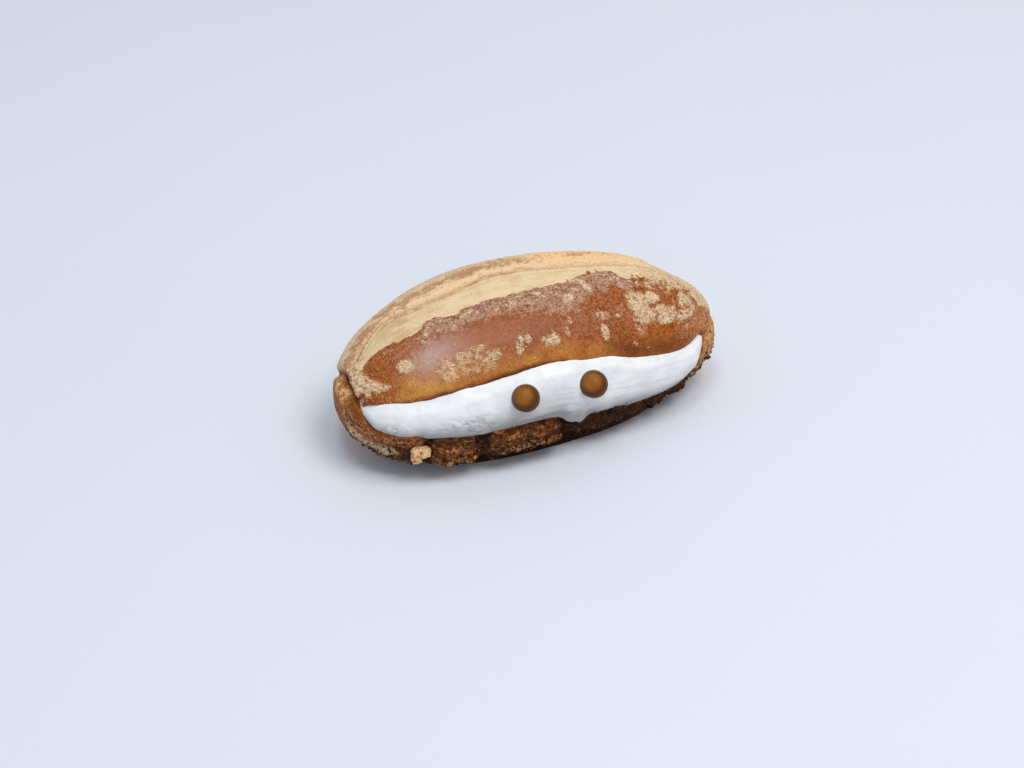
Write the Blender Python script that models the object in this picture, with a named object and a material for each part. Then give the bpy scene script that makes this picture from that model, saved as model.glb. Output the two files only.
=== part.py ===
"""Cream bun: a long sweet roll split along its front, filled with whipped cream, with two chocolate balls.

X runs along the roll, -Y is the open front and +Z is up. The origin is under the middle of the roll,
on the surface that it stands on. Sizes below are in millimetres, and MM turns them into metres.
"""

import math

import bmesh
import bpy
from mathutils import Vector, noise

MM = 0.001

# The roll as it stands, filled: half its length, half its width, the height of its waist, and how far
# the crown rises above the waist and the belly would reach below it if its own weight didn't flatten it.
HALF_LENGTH = 73.1
HALF_WIDTH = 32.0
WAIST_HEIGHT = 21.6
CROWN_RISE = 34.9
BELLY_DROP = 27.7
PLAN_POWER = 2.27
CROWN_POWER = 2.13
BELLY_POWER = 2.88
CROWN_LEAN = 11.3
WIDTH_TAPER = -0.12
BOW = 2.8
FOOT_ROUND = 3.0
PLACE = (0.0, 0.4)

# The mouth that the cream fills, as (x, height of its middle) and (x, half its height), with its two ends
# and how far before them it starts to close. Beyond the ends its middle is the fold between the halves.
MOUTH_MIDDLE = (
    (-70.5, 33.6), (-67.4, 29.6), (-58, 28.8), (-42, 29.5), (-28, 30.1), (-12, 31.35), (2, 31.6),
    (15, 29.4), (25, 28.0), (34, 26.0), (50, 23.2), (58, 23.4), (65, 26.8), (69, 28.0),
)
MOUTH_HALF_HEIGHT = (
    (-66, 6.2), (-54, 7), (-42, 8.2), (-28, 10), (-5, 11.25), (15, 12.8), (25, 12.9), (35, 11.4), (50, 9.4),
)
MOUTH_LEFT = -67.0
MOUTH_RIGHT = 65.0
MOUTH_LEFT_ROUND = 12.0
MOUTH_RIGHT_ROUND = 20.0

# The halves' skin turns in to the mouth: how deep, and over what height above the lip and below the rim.
MOUTH_DEPTH = 5.0
FOLD_DEPTH_LEFT = 3.0
FOLD_DEPTH_RIGHT = 1.5
FOLD_DEPTH_BACK = 0.9
FOLD_BACK_Z = 24.0
TURN_IN = 4.2
LIP_TURN = 1.8
RIM_TURN = 0.9
FOLD_TURN = 3.6
SHELF_TURN = 3.4

# The cream: a wedge from its thin inner edge to its face, tucked under the lip and swelling out below it.
INNER_EDGE_Y = 15.0
INNER_EDGE_Z = 24.5
INNER_HALF_HEIGHT = 1.6
END_DEPTH = 5.0
LIP_TUCK = 4.2
RIM_TUCK = 1.3
CREAM_SWELL = 1.6
END_SWELL = 0.6
SPILL_X = 9.5
SPILL_HALF_WIDTH = 3.4
SPILL_DROP = 2.8
CREAM_GAP = 0.35

# The crown's lengthwise score, as (x, y): its fold, and the front edge of the pale band before the fold.
SCORE = (
    (-71, -5), (-66, 0.5), (-61, 5), (-55, 9.4), (-48, 11.6), (-40, 11.2), (-30, 11.8), (-18, 13.2), (-8, 14.6),
    (2, 13.6), (12, 11.8), (24, 10.4), (40, 9), (52, 7.8), (62, 5),
)
SCORE_DEPTH = 1.7
SCORE_HALF_WIDTH = 1.7
BAND_EDGE = (
    (-71, -7), (-65, -4), (-60, -1.6), (-52, -1), (-44, -1.2), (-39.5, -0.6), (-36.5, 2.2), (-28, 0.6), (-21, 2.2),
    (-10, 2.4), (4, 3.2), (18, 3.6), (23.5, 5.6), (33, 6), (38, 2.8), (48, 3.2), (60, 0),
)
BAND_DEPTH = 0.8
BAND_ENDS = (-66.0, 46.0)
BACK_LOBE_TRIM = 0.8
BACK_LOBE_END = 52.5
SHOULDER_DROP = 1.6

# The base's toasted edge: lumps of crust, as (x, half length, how far they stand out).
RIM_LUMPS = ((-62, 6.5, -0.6), (-37, 8.5, 1.9), (-10, 14.5, 2.2), (25, 14.0, 1.1), (49, 8.5, 0.8))
RIM_LUMP_Z = 12.5
RIM_LUMP_HALF_HEIGHT = 7.0
RIM_TOP = 18.0
CRAG_HEIGHT = 0.9
CRAG_SIZE = 6.5
DOUGH_SWELL = 0.6
DOUGH_SIZE = 34.0

# A large pale crumb baked on to the rim.
CRUMB_PLACE = (-49.0, 15.2)
CRUMB_SIZE = (3.6, 2.8, 3.0)
CRUMB_SINK = 0.6
CRUMB_UNEVEN = 0.35

# The two chocolate balls, sunk a little into the cream's face: their radius and centres.
BALL_RADIUS = 5.0
BALL_CENTRES = {"chocolate_ball_left": (-10.4, -30.4, 33.8), "chocolate_ball_right": (15.6, -29.5, 32.2)}
BALL_GAP = 0.3

# How finely each surface is divided, and how much closer its lines lie at the front than at the back.
ROLL_STATIONS = 62
ROLL_AROUND = 54
FRONT_CLOSER = 0.42
CREAM_STATIONS = 50
CREAM_ENDS_CLOSER = 0.6
CREAM_FACE_STEPS = 12
CREAM_SIDE_STEPS = 5
BALL_ROUNDS = 3


def along(points, x):
    """The height of a smooth line through the points at x, level beyond its ends."""
    if x <= points[0][0]:
        return points[0][1]
    if x >= points[-1][0]:
        return points[-1][1]
    i = max(n for n in range(len(points) - 1) if points[n][0] <= x)

    def slope(n):
        low, high = max(n - 1, 0), min(n + 1, len(points) - 1)
        return (points[high][1] - points[low][1]) / (points[high][0] - points[low][0])

    span = points[i + 1][0] - points[i][0]
    t = (x - points[i][0]) / span
    return (
        (2 * t**3 - 3 * t**2 + 1) * points[i][1]
        + (t**3 - 2 * t**2 + t) * span * slope(i)
        + (3 * t**2 - 2 * t**3) * points[i + 1][1]
        + (t**3 - t**2) * span * slope(i + 1)
    )


def ramp(low, high, value):
    """0 below low, 1 above high and smooth between them."""
    t = min(1.0, max(0.0, (value - low) / (high - low)))
    return t * t * (3 - 2 * t)


def blend(first, second, share):
    return first + (second - first) * share


def signed_power(value, power):
    return math.copysign(abs(value) ** power, value)


def bell(distance, half_width):
    return math.exp(-((distance / half_width) ** 2))


def girth(x):
    """How full the roll is at x: 1 in its middle and 0 at its tips."""
    share = min(1.0, abs(x) / HALF_LENGTH)
    return (1 - share**PLAN_POWER) ** (1 / PLAN_POWER)


def half_width(x):
    return HALF_WIDTH * (1 + WIDTH_TAPER * x / HALF_LENGTH) * girth(x)


def axis_y(x, rise):
    """The Y of the section's middle at x, which bows forward along the roll and leans back upwards."""
    return BOW * (1 - (x / HALF_LENGTH) ** 2) + CROWN_LEAN * (max(rise, 0) / CROWN_RISE) ** 2


def section(x, turn):
    """The roll's smooth form at x: the point at an angle around the waist line, with the front at pi."""
    upper = math.sin(turn) > 0
    power = CROWN_POWER if upper else BELLY_POWER
    reach = CROWN_RISE if upper else BELLY_DROP
    rise = reach * girth(x) * signed_power(math.sin(turn), 2 / power)
    y = half_width(x) * signed_power(math.cos(turn), 2 / power) + axis_y(x, rise)
    return y, max(0.0, WAIST_HEIGHT + rise)


def front(x, z):
    """The Y of the smooth form's front at x and height z."""
    rise = z - WAIST_HEIGHT
    power = CROWN_POWER if rise > 0 else BELLY_POWER
    reach = (CROWN_RISE if rise > 0 else BELLY_DROP) * max(girth(x), 1e-3)
    share = min(1.0, abs(rise) / reach)
    return axis_y(x, rise) - half_width(x) * (1 - share**power) ** (1 / power)


def mouth_share(x):
    """How far the mouth is open at x: 1 in its middle, and closing roundly to 0 at its ends."""
    from_left = min(1.0, max(0.0, (x - MOUTH_LEFT) / MOUTH_LEFT_ROUND))
    from_right = min(1.0, max(0.0, (MOUTH_RIGHT - x) / MOUTH_RIGHT_ROUND))
    return math.sqrt(1 - (1 - from_left) ** 2) * math.sqrt(1 - (1 - from_right) ** 2)


def mouth_half_height(x):
    return along(MOUTH_HALF_HEIGHT, x) * mouth_share(x)


def mouth_relief(x, y, z):
    """The skin turns in to the mouth at the front, and to a fold that runs on round the ends and back."""
    back = ramp(-2, 14, y)
    left = ramp(50, 66, -x)
    above = z - blend(along(MOUTH_MIDDLE, x), FOLD_BACK_Z, back)
    half_height = mouth_half_height(x) * (1 - back)
    open_share = min(1.0, half_height / TURN_IN)
    fold_depth = blend(blend(FOLD_DEPTH_RIGHT, FOLD_DEPTH_LEFT, left), FOLD_DEPTH_BACK, back)
    depth = blend(fold_depth, MOUTH_DEPTH, open_share)
    turn_out = blend(FOLD_TURN, LIP_TURN, open_share)
    if above < 0:
        turn_out = blend(blend(FOLD_TURN, SHELF_TURN, left), RIM_TURN, open_share)
    turn_in = TURN_IN * open_share
    return -depth * (1 - ramp(half_height - turn_in, half_height + turn_out, abs(above)))


def score_relief(x, y, z):
    """The crown's lengthwise score: a fold, a sunk band of young crust before it and a swelling behind."""
    if z < WAIST_HEIGHT + 4:
        return 0.0
    crown = ramp(WAIST_HEIGHT + 4, WAIST_HEIGHT + 13, z)
    length = ramp(BAND_ENDS[0] - 4, BAND_ENDS[0] + 6, x) * (1 - ramp(BAND_ENDS[1], BAND_ENDS[1] + 14, x))
    fold, edge = along(SCORE, x), along(BAND_EDGE, x)
    lobe = 1 - ramp(BACK_LOBE_END - 3, BACK_LOBE_END + 2, x)
    relief = -SCORE_DEPTH * bell(y - fold, SCORE_HALF_WIDTH) * blend(0.3, 1, lobe)
    relief -= BAND_DEPTH * length * ramp(edge - 1.2, edge + 1.0, y) * (1 - ramp(fold - 1, fold + 1.5, y))
    relief -= BACK_LOBE_TRIM * bell(y - fold - 10, 8) * lobe
    relief -= SHOULDER_DROP * (1 - lobe) * ramp(fold - 2, fold + 5, y) * (1 - ramp(60, 68, x))
    return crown * relief


def rim_relief(x, y, z):
    """The base's toasted edge: lumps with gaps between them, and crags all over."""
    facing = 1 - ramp(-16, 4, y)
    crag = noise.noise(Vector((x, y, z)) / CRAG_SIZE)
    relief = CRAG_HEIGHT * crag * (0.45 + 0.55 * facing)
    up = min(1.0, abs(z - RIM_LUMP_Z) / RIM_LUMP_HALF_HEIGHT)
    for lump_x, half_length, stand in RIM_LUMPS:
        share = min(1.0, abs(x - lump_x) / half_length)
        relief += stand * (1 - share**6) * (1 - up**4) * facing
    return (1 - ramp(RIM_TOP - 3, RIM_TOP + 3, z)) * relief


def relief(x, y, z):
    """How far the crust stands out from the smooth form, which stays flat underneath."""
    dough = DOUGH_SWELL * noise.noise(Vector((x, y * 1.4, z * 1.4)) / DOUGH_SIZE)
    shape = dough + mouth_relief(x, y, z) + score_relief(x, y, z) + rim_relief(x, y, z)
    return shape * ramp(0, FOOT_ROUND, z)


def skin(bm, rings):
    """Closes the rings of points, with one point at either tip, into a surface facing out."""
    loops = [[bm.verts.new(point) for point in ring] for ring in rings]
    for near, far in zip(loops, loops[1:]):
        count = max(len(near), len(far))
        for i in range(count):
            after = (i + 1) % count
            if len(near) == 1:
                bm.faces.new((near[0], far[i], far[after]))
            elif len(far) == 1:
                bm.faces.new((near[i], far[0], near[after]))
            else:
                bm.faces.new((near[i], far[i], far[after], near[after]))
    bmesh.ops.triangulate(bm, faces=bm.faces, quad_method="SHORT_EDGE")
    bmesh.ops.recalc_face_normals(bm, faces=bm.faces)
    bm.normal_update()


def object_of(bm, name, material):
    """The finished mesh as an object of that name, in metres and at the roll's place."""
    bmesh.ops.translate(bm, verts=bm.verts, vec=(*PLACE, 0))
    bmesh.ops.scale(bm, verts=bm.verts, vec=(MM, MM, MM))
    mesh = bpy.data.meshes.new(name)
    bm.to_mesh(mesh)
    bm.free()
    mesh.shade_smooth()
    made = bpy.data.objects.new(name, mesh)
    bpy.context.scene.collection.objects.link(made)
    made.data.materials.append(material)
    return made


def helper(made):
    made.hide_render = True
    made.display_type = "WIRE"
    return made


def add_boolean(target, other, operation):
    boolean = target.modifiers.new(other.name, "BOOLEAN")
    boolean.operation = operation
    boolean.solver = "EXACT"
    boolean.object = other


def material(name, colour, roughness):
    made = bpy.data.materials.new(name)
    made.use_nodes = True
    shader = made.node_tree.nodes["Principled BSDF"]
    shader.inputs["Base Color"].default_value = (*colour, 1)
    shader.inputs["Roughness"].default_value = roughness
    shader.inputs["Metallic"].default_value = 0
    made.diffuse_color = (*colour, 1)
    return made


def roll_surface():
    """The whole roll's skin, with its relief, before the mouth is cut."""
    bm = bmesh.new()
    rings = []
    for station in range(ROLL_STATIONS + 1):
        x = -HALF_LENGTH * signed_power(math.cos(math.pi * station / ROLL_STATIONS), 2 / PLAN_POWER)
        if station in (0, ROLL_STATIONS):
            rings.append([(x, 0, WAIST_HEIGHT)])
            continue
        evenly = [2 * math.pi * i / ROLL_AROUND for i in range(ROLL_AROUND)]
        turns = [turn + FRONT_CLOSER * math.sin(turn) for turn in evenly]
        rings.append([(x, *section(x, turn)) for turn in turns])
    skin(bm, rings)
    for vert in bm.verts:
        vert.co += vert.normal * relief(*vert.co)
        vert.co.z = max(vert.co.z, 0)
    return bm


def cream_face(x, z, up):
    """The Y of the cream's face at x and height z, where up runs from -1 at its foot to 1 at its top."""
    share = mouth_share(x)
    tuck = blend(RIM_TUCK, LIP_TUCK, share) * ramp(0.45, 1, up) + RIM_TUCK * ramp(0.7, 1, -up)
    return front(x, z) + tuck - blend(END_SWELL, CREAM_SWELL, share) * (1 - up * up)


def cream_outline():
    """(how far out from the inner edge, how far up) for each point round the cream's section."""
    for i in range(CREAM_FACE_STEPS + 1):
        yield 1.0, -math.cos(math.pi * i / CREAM_FACE_STEPS)
    for side in (1, -1):
        steps = range(1, CREAM_SIDE_STEPS + 1)
        for i in steps if side < 0 else reversed(steps):
            yield (i - 0.5) / (CREAM_SIDE_STEPS + 0.5), side


def cream_section(x):
    """The cream's outline at x, from its thin inner edge to its face."""
    share = mouth_share(x)
    height = mouth_half_height(x)
    middle = along(MOUTH_MIDDLE, x)
    inner_y = blend(front(x, middle) + END_DEPTH, INNER_EDGE_Y, share)
    inner_z = blend(middle, INNER_EDGE_Z, share)
    spill = bell(x - SPILL_X, SPILL_HALF_WIDTH)
    outline = []
    for out, up in cream_outline():
        z = blend(inner_z, middle, out) + blend(INNER_HALF_HEIGHT * share, height, out) * up
        drop = SPILL_DROP * spill * ramp(0.6, 1, out) * ramp(0.2, 1, -up)
        y = blend(inner_y, cream_face(x, z, up), out) - 0.4 * drop
        outline.append((x, y, z - drop))
    return outline


def cream_surface():
    bm = bmesh.new()
    rings = []
    middle = (MOUTH_LEFT + MOUTH_RIGHT) / 2
    reach = (MOUTH_RIGHT - MOUTH_LEFT) / 2
    for station in range(CREAM_STATIONS + 1):
        share = station / CREAM_STATIONS
        x = middle + reach * blend(2 * share - 1, -math.cos(math.pi * share), CREAM_ENDS_CLOSER)
        if station in (0, CREAM_STATIONS):
            height = along(MOUTH_MIDDLE, x)
            rings.append([(x, front(x, height) + END_DEPTH / 2, height)])
        else:
            rings.append(cream_section(x))
    skin(bm, rings)
    return bm


def swollen(bm, distance):
    """The surface moved out by a distance, for a cutter that leaves that gap."""
    for vert in bm.verts:
        vert.co += vert.normal * distance
    return bm


def ball_surface(centre, radius):
    bm = bmesh.new()
    bmesh.ops.create_icosphere(bm, subdivisions=BALL_ROUNDS, radius=radius)
    bmesh.ops.translate(bm, verts=bm.verts, vec=centre)
    return bm


def crumb_surface():
    """The large crumb, uneven all over and a little sunk into the rim."""
    x, z = CRUMB_PLACE
    bm = bmesh.new()
    bmesh.ops.create_icosphere(bm, subdivisions=3, radius=1)
    for vert in bm.verts:
        vert.co *= 1 + CRUMB_UNEVEN * noise.noise(vert.co * 1.6)
    bmesh.ops.scale(bm, verts=bm.verts, vec=CRUMB_SIZE)
    bmesh.ops.translate(bm, verts=bm.verts, vec=(x, front(x, z) + CRUMB_SINK, z))
    return bm


def main():
    for old in list(bpy.data.objects):
        bpy.data.objects.remove(old)
    crust = material("crust", (0.45, 0.19, 0.06), 0.55)
    cream_white = material("whipped_cream", (0.86, 0.86, 0.85), 0.5)
    chocolate = material("chocolate", (0.28, 0.12, 0.03), 0.3)

    roll = object_of(roll_surface(), "bun", crust)
    add_boolean(roll, helper(object_of(crumb_surface(), "crumb", crust)), "UNION")
    mouth = helper(object_of(swollen(cream_surface(), CREAM_GAP), "mouth_cutter", crust))
    add_boolean(roll, mouth, "DIFFERENCE")

    cream = object_of(cream_surface(), "cream", cream_white)
    for name, centre in BALL_CENTRES.items():
        object_of(ball_surface(centre, BALL_RADIUS), name, chocolate)
        pocket = helper(object_of(ball_surface(centre, BALL_RADIUS + BALL_GAP), name + "_pocket", crust))
        add_boolean(cream, pocket, "DIFFERENCE")


main()
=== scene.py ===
import math
from types import SimpleNamespace

import bmesh
import bpy
import numpy as np
from mathutils import Matrix, Quaternion, Vector, noise


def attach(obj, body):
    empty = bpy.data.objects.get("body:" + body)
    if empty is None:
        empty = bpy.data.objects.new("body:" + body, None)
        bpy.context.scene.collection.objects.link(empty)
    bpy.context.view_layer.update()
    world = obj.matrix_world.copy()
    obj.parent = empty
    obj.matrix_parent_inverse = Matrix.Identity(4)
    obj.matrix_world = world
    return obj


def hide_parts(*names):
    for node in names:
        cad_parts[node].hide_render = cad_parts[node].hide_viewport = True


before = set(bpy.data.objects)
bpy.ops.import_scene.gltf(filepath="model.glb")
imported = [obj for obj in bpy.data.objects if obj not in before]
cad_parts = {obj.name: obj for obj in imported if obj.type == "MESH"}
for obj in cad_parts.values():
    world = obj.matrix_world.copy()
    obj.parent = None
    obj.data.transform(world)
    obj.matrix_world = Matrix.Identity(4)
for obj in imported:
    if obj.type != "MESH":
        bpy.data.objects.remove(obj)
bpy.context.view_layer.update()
print("frame loaded")

mm = 0.001
fine = 1

# Forms are worked out in millimetres, with X along the roll, -Y its open front and Z up.


def ramp(low, high, value):  # 0 below low, 1 above high, smooth between
    t = np.clip((value - low) / (high - low), 0, 1)
    return t * t * (3 - 2 * t)


def mixed(first, second, share):
    return first + (second - first) * share


def bell(distance, width):
    return np.exp(-((distance / width) ** 2))


def window(value, start, stop):  # 1 between a soft start and a soft stop, each from and to a value
    return ramp(*start, value) * (1 - ramp(*stop, value))


def spots(places, x, up):  # soft spots, each as x, half length, height, half height, how much
    return sum(much * bell(x - px, half) * bell(up - pz, tall) for px, half, pz, tall, much in places)


def signedPower(value, power):
    return np.sign(value) * np.abs(value) ** power


def lineThrough(points, x):  # a smooth line through (x, value) points, level beyond its ends
    px, py = np.array(points, float).T
    slope = np.gradient(py, px)
    slope[1:-1] = (py[2:] - py[:-2]) / (px[2:] - px[:-2])
    x = np.clip(x, px[0], px[-1])
    i = np.clip(np.searchsorted(px, x, side="right") - 1, 0, len(px) - 2)
    span = px[i + 1] - px[i]
    t = (x - px[i]) / span
    ends = (2 * t**3 - 3 * t**2 + 1) * py[i] + (3 * t**2 - 2 * t**3) * py[i + 1]
    return ends + span * ((t**3 - 2 * t**2 + t) * slope[i] + (t**3 - t**2) * slope[i + 1])


def rough(points, size, octaves=1, seed=0):  # soft noise of about -1 to 1, with features of that size
    scaled = np.asarray(points, float).reshape(-1, 3) / size + seed
    if octaves == 1:
        found = [noise.noise(p) for p in scaled.tolist()]
    else:
        found = [noise.fractal(p, 0.8, 2.1, octaves) for p in scaled.tolist()]
    return np.array(found).reshape(np.shape(points)[:-1])


def cracks(points, size, seed=0):  # 0 along the borders of cells of that size, growing inwards
    scaled = np.asarray(points, float).reshape(-1, 3) / size + seed
    near = np.array([noise.voronoi(p)[0][:2] for p in scaled.tolist()])
    return (near[:, 1] - near[:, 0]).reshape(np.shape(points)[:-1])


# Finishes: sums on sockets, and one method that makes every other node.


def operator(operation, reflected=False):  # a method of Signal that adds a Math node
    def method(self, other):
        pair = (other, self) if reflected else (self, other)
        return self.finish.node("Math", {"operation": operation}, dict(enumerate(pair)))

    return method


class Signal:  # one output of a node, which adds Math nodes when it is used in a sum
    def __init__(self, finish, socket):
        self.finish, self.socket = finish, socket

    __add__, __radd__ = operator("ADD"), operator("ADD", reflected=True)
    __sub__, __rsub__ = operator("SUBTRACT"), operator("SUBTRACT", reflected=True)
    __mul__, __rmul__ = operator("MULTIPLY"), operator("MULTIPLY", reflected=True)


class Finish:  # one material and its nodes
    def __init__(self, name):
        self.material = bpy.data.materials.new(name)
        self.material.use_nodes = True
        self.tree = self.material.node_tree
        self.tree.nodes.clear()
        self.place = self.node("TexCoord", {}, {}, "Object")

    def node(self, kind, settings, inputs, output=0):
        made = self.tree.nodes.new("ShaderNode" + kind)
        for name, value in settings.items():
            setattr(made, name, value)
        for name, value in inputs.items():
            if isinstance(value, Signal):
                self.tree.links.new(value.socket, made.inputs[name])
            else:
                made.inputs[name].default_value = value
        return made if output is None else Signal(self, made.outputs[output])

    def map(self, name):  # a number that the mesh carries at each point
        return self.node("Attribute", {"attribute_name": name}, {}, "Fac")

    def grain(self, size, detail=2, roughness=0.5, stretch=(1, 1, 1)):  # noise whose features are size mm
        place = self.node("VectorMath", {"operation": "MULTIPLY"}, {0: self.place, 1: stretch})
        inputs = {"Vector": place, "Scale": 1 / (size * mm), "Detail": detail, "Roughness": roughness}
        return self.node("TexNoise", {}, inputs)

    def speckle(self, size, amount, softness):  # 1 in grains of that size, which cover that share
        cloud = self.grain(size, 1) + self.grain(size * 2.7, 2) * 0.5
        return self.between(0, softness, cloud - 0.99 + amount * 0.5)

    def between(self, low, high, value):  # 0 below low, 1 above high
        settings = {"interpolation_type": "SMOOTHSTEP"}
        return self.node("MapRange", settings, {"Value": value, "From Min": low, "From Max": high})

    def mix(self, first, second, share):
        inputs = {"Factor": share, 6: first, 7: second}
        return self.node("Mix", {"data_type": "RGBA"}, inputs, 2)

    def bump(self, height, distance, strength):
        return self.node("Bump", {}, {"Height": height, "Distance": distance * mm, "Strength": strength})

    def surface(self, inputs):
        shader = self.node("BsdfPrincipled", {}, inputs)
        self.node("OutputMaterial", {}, {"Surface": shader}, None)
        return self.material


def screen(red, green, blue):  # a colour as a screen shows it, 0 to 255, turned to light
    parts = [value / 255 for value in (red, green, blue)]
    return tuple(v / 12.92 if v <= 0.04045 else ((v + 0.055) / 1.055) ** 2.4 for v in parts) + (1,)


# The roll's smooth form, as in the solid.

roll = {
    "halfLength": 73.1,
    "halfWidth": 32,
    "waistHeight": 21.6,
    "crownRise": 34.9,
    "bellyDrop": 27.7,
    "planPower": 2.27,
    "crownPower": 2.13,
    "bellyPower": 2.88,
    "crownLean": 11.3,
    "widthTaper": -0.12,
    "bow": 2.8,
    "placeY": 0.4,
    "footRound": 3,
}


def girth(x):
    share = np.minimum(1, np.abs(x) / roll["halfLength"])
    return (1 - share ** roll["planPower"]) ** (1 / roll["planPower"])


def halfWidth(x):
    return roll["halfWidth"] * (1 + roll["widthTaper"] * x / roll["halfLength"]) * girth(x)


def axisY(x, rise):
    lean = roll["crownLean"] * (np.maximum(rise, 0) / roll["crownRise"]) ** 2
    return roll["bow"] * (1 - (x / roll["halfLength"]) ** 2) + lean


def powerAndReach(upper):
    power = np.where(upper, roll["crownPower"], roll["bellyPower"])
    return power, np.where(upper, roll["crownRise"], roll["bellyDrop"])


def sectionPoint(x, turn):  # turn is the angle round the waist, with the front at pi
    power, reach = powerAndReach(np.sin(turn) > 0)
    rise = reach * girth(x) * signedPower(np.sin(turn), 2 / power)
    y = halfWidth(x) * signedPower(np.cos(turn), 2 / power) + axisY(x, rise)
    return y, np.maximum(0, roll["waistHeight"] + rise)


def frontShare(x, z):  # the height over the waist, its power, and its share of the section's reach
    rise = z - roll["waistHeight"]
    power, reach = powerAndReach(rise > 0)
    return rise, power, np.minimum(1, np.abs(rise) / (reach * np.maximum(girth(x), 1e-3)))


def frontY(x, z):
    rise, power, share = frontShare(x, z)
    return axisY(x, rise) - halfWidth(x) * (1 - share**power) ** (1 / power)


def frontTurn(x, z):  # the turn of the front's point at height z
    rise, power, share = frontShare(x, z)
    return np.pi - np.sign(rise) * np.arcsin(np.minimum(0.97, share) ** (power / 2))


# The mouth between lid and base.

mouth = {
    "middle": (
        (-70.5, 33.6), (-67.4, 29.6), (-58, 28.8), (-42, 29.5), (-28, 30.1), (-12, 31.35), (2, 31.6),
        (15, 29.4), (25, 28), (34, 26), (50, 23.2), (58, 23.4), (65, 26.8), (69, 28),
    ),
    "halfHeight": (
        (-66, 6.2), (-54, 7), (-42, 8.2), (-28, 10), (-5, 11.25), (15, 12.8), (25, 12.9), (35, 11.4),
        (50, 9.4),
    ),
    "endFold": (  # where lid and base meet beyond the mouth's left end
        (-72, 33.6), (-70.5, 34.4), (-69.3, 34.8), (-68.2, 34.2), (-67.2, 32.4), (-66, 30.4), (-64, 29.4),
    ),
    "left": -67,
    "right": 65,
    "leftRound": 12,
    "rightRound": 20,
    "lipTurn": 3,
    "lipRound": 2.2,
    "lipWave": 0.4,
    "rimTurn": 1.3,
    "rimRound": 1.1,
    "innerY": 15,
    "innerZ": 24.5,
    "innerHalfHeight": 1.6,
    "endDepth": 5,
    "foldDepthLeft": 3.2,
    "foldDepthRight": 1.5,
    "foldDepthBack": 0.9,
    "foldBackZ": 24,
    "foldTurn": 3.6,
    "shelfTurn": 3.4,
    "nose": ((-65, 4, 4.5, 3.4, 1.3),),  # the lid's swelling over the left end, as a spot
    "backLeft": (4, 18),  # the y over which the fold turns into the back's, at the left
    "backRight": (-2, 14),  # and at the right
    "sealedBelow": 0.35,  # how open the mouth is where its walls begin
}


def mouthShare(x):
    fromLeft = np.clip((x - mouth["left"]) / mouth["leftRound"], 0, 1)
    fromRight = np.clip((mouth["right"] - x) / mouth["rightRound"], 0, 1)
    return np.sqrt(1 - (1 - fromLeft) ** 2) * np.sqrt(1 - (1 - fromRight) ** 2)


def mouthHalf(x):
    return lineThrough(mouth["halfHeight"], x) * mouthShare(x)


def mouthBottom(x):  # where the mouth ends inside the roll: y, height and half height
    share, middle = mouthShare(x), lineThrough(mouth["middle"], x)
    y = mixed(frontY(x, middle) + mouth["endDepth"], mouth["innerY"], share)
    return y, mixed(middle, mouth["innerZ"], share), mouth["innerHalfHeight"] * share


def aboveFold(x, y, z):  # height above the line where lid and base meet, how shut it is, how far back
    back = mixed(ramp(*mouth["backLeft"], y), ramp(*mouth["backRight"], y), ramp(-60, 0, x))
    shut = 1 - ramp(0, mouth["sealedBelow"], mouthShare(x)) * (1 - back)
    beyond = x < mouth["endFold"][-1][0]
    line = np.where(beyond, lineThrough(mouth["endFold"], x), lineThrough(mouth["middle"], x))
    return z - mixed(line, mouth["foldBackZ"], back), shut, back


def foldRelief(x, y, z):  # the valley between lid and base where the mouth is shut
    above, shut, back = aboveFold(x, y, z)
    left = ramp(50, 66, -x)
    depth = mixed(mixed(mouth["foldDepthRight"], mouth["foldDepthLeft"], left), mouth["foldDepthBack"], back)
    below = mixed(mouth["foldTurn"], mouth["shelfTurn"], left)
    turn = np.where(above < 0, below, mouth["foldTurn"])
    valley = -depth * shut * (1 - ramp(0, 1, np.abs(above) / turn))
    return valley + spots(mouth["nose"], x, above) * (1 - back)


# The crust: one closed skin over lid, mouth and base.

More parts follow.
